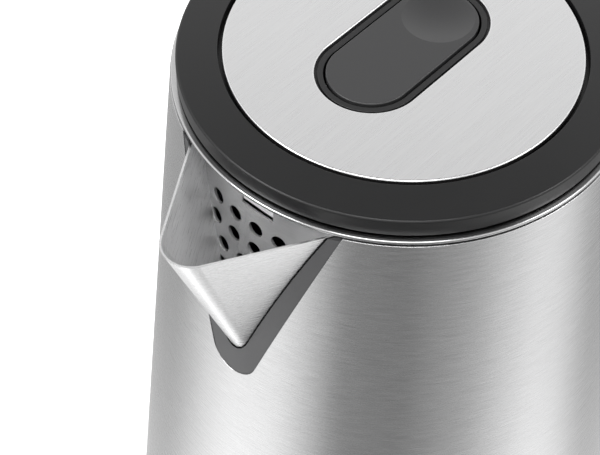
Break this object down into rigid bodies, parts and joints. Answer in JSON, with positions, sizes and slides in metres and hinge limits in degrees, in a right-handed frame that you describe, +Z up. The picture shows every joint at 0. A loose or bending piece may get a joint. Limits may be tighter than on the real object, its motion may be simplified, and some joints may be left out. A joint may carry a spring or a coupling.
{
  "type": "electric kettle",
  "caption": "Cone-shaped double-walled steel kettle with V-shaped spout, hinged lid with rocking latch button, loop handle with switch lever, and power base.",
  "frame": {"origin": "on the table, under the kettle's axis, at the underside of the base's rubber foot", "axes": "+Z up along the kettle's axis, -X towards the spout, +X towards the handle"},
  "size_m": [0.2222, 0.1702, 0.236],
  "materials": {
    "shell_steel": "circumferentially brushed",
    "pot_steel": "satin, bright rolled rim",
    "spout_steel": "satin brushed",
    "disc_steel": "fine straight brushing",
    "latch_steel": "polished",
    "spring_steel": "drawn",
    "heater_steel": "satin",
    "spreader_aluminium": "cast",
    "fastener_steel": "zinc plated",
    "contact_brass": "polished",
    "lid_black": "fine matte",
    "button_grey": "fine grain",
    "trim_grey": "satin",
    "handle_black": "fine matte",
    "base_black": "fine matte",
    "liner_black": "smooth",
    "control_white": "moulded",
    "switch_black": "satin",
    "lens_clear": "clear",
    "seal_silicone": "soft matte",
    "foot_rubber": "matte"
  },
  "bodies": {
    "power_base": {"base_foot": "foot_rubber", "base_plate": "base_black", "base_cover": "base_black", "base_connector": "base_black", "base_contacts": "contact_brass", "base_screws": "fastener_steel", "cord_gland": "base_black"},
    "kettle": {"bottom_cover": "handle_black", "bottom_screws": "fastener_steel", "pot_studs": "heater_steel", "outer_shell": "shell_steel", "inner_pot": "pot_steel", "spout_filter": "pot_steel", "spout": "spout_steel", "spout_trim": "trim_grey", "heater_plate": "heater_steel", "heat_spreader": "spreader_aluminium", "heating_element": "heater_steel", "control_unit": "control_white", "control_contacts": "contact_brass", "control_screws": "fastener_steel", "bimetal_discs": "spring_steel", "handle_shell": "handle_black", "handle_cover": "handle_black", "handle_screws": "fastener_steel", "hinge_bracket": "handle_black", "hinge_pin": "latch_steel", "hinge_spring": "spring_steel", "steam_tube": "seal_silicone", "steam_switch": "control_white", "steam_bimetal": "spring_steel", "switch_pin": "latch_steel"},
    "lid": {"lid_ring": "lid_black", "lid_disc": "disc_steel", "button_bezel": "button_grey", "button_pin": "latch_steel", "lid_liner": "liner_black", "lid_seal": "seal_silicone", "lid_screws": "fastener_steel", "latch_spring": "spring_steel"},
    "button": {"lid_button": "button_grey"},
    "latch": {"latch_bolt": "latch_steel"},
    "switch": {"switch_lever": "switch_black", "switch_lens": "lens_clear"}
  },
  "joints": [
    {"name": "kettle_lift", "type": "slide", "parent": "power_base", "child": "kettle", "axis": [0, 0, 1], "range_m": [0, 0.06]},
    {"name": "lid_hinge", "type": "hinge", "parent": "kettle", "child": "lid", "pos_m": [0.07, 0, 0.2315], "axis": [0, 1, 0], "range_deg": [0, 80]},
    {"name": "button_rock", "type": "hinge", "parent": "lid", "child": "button", "pos_m": [-0.022, 0, 0.23], "axis": [0, 1, 0], "range_deg": [0, 4.5], "stiffness_Nm_per_rad": 1},
    {"name": "latch_slide", "type": "slide", "parent": "lid", "child": "latch", "axis": [1, 0, 0], "range_m": [0, 0.0038], "deforming": ["latch_spring"]},
    {"name": "switch_tip", "type": "hinge", "parent": "kettle", "child": "switch", "pos_m": [0.1005, 0, 0.0595], "axis": [0, 1, 0], "range_deg": [0, 14]}
  ],
  "couplings": [
    {"joint": "latch_slide", "follows": "button_rock", "m_per_rad": 0.0483}
  ]
}
